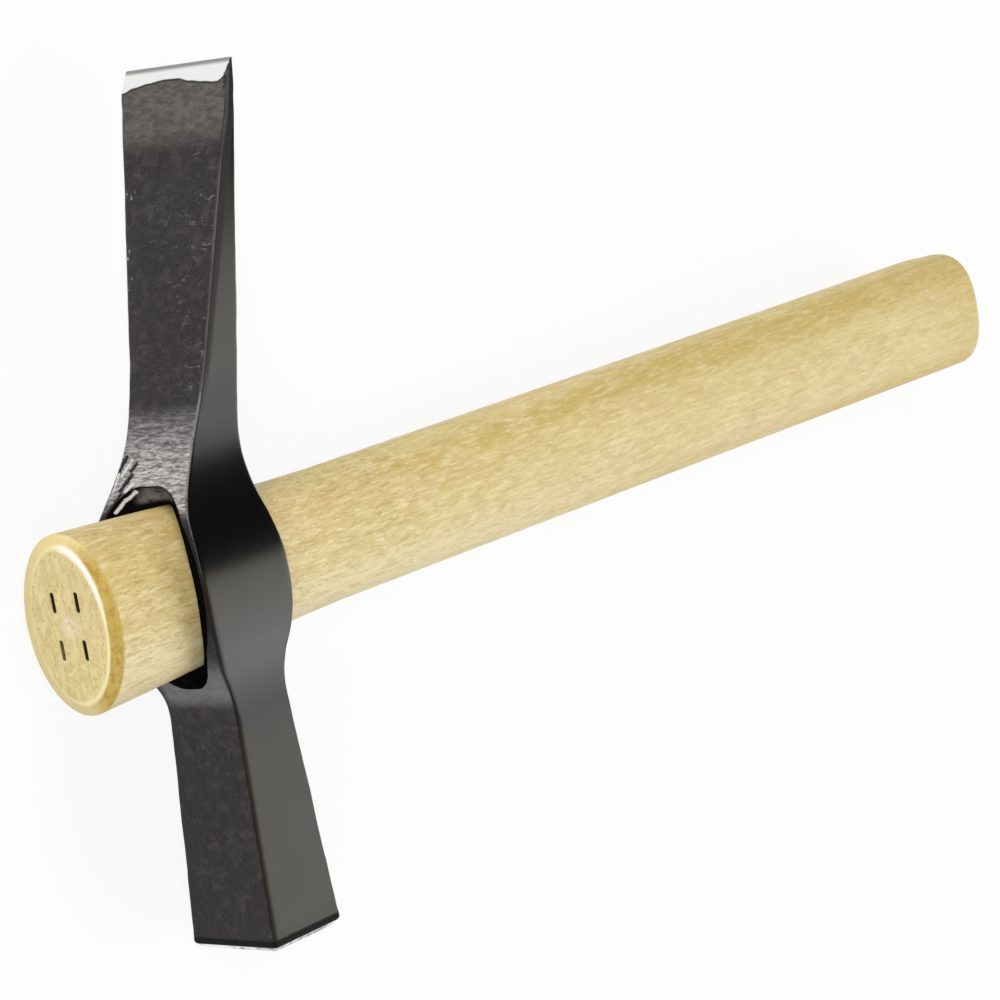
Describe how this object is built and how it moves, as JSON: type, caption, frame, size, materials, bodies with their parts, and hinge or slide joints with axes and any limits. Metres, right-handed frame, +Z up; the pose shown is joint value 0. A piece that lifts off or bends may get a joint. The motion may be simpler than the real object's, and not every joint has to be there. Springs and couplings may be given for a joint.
{
  "type": "bricklayer hammer",
  "caption": "Bricklayer's hammer: forged head with a swept cutting blade and a square poll on a tapered oval wooden handle driven through its eye.",
  "frame": {"origin": "centre of the underside of the bounding box, with the hammer lying on one cheek of its head", "axes": "+X along the handle towards the grip end, +Y up the head towards the blade, +Z up out of the upper cheek"},
  "size_m": [0.341, 0.1914, 0.0372],
  "materials": {
    "black_steel": "satin black lacquer over a forged skin",
    "light_wood": "smooth sanded, thin clear coat"
  },
  "bodies": {
    "root": {"hammer_head": "black_steel", "handle": "light_wood"}
  },
  "joints": []
}
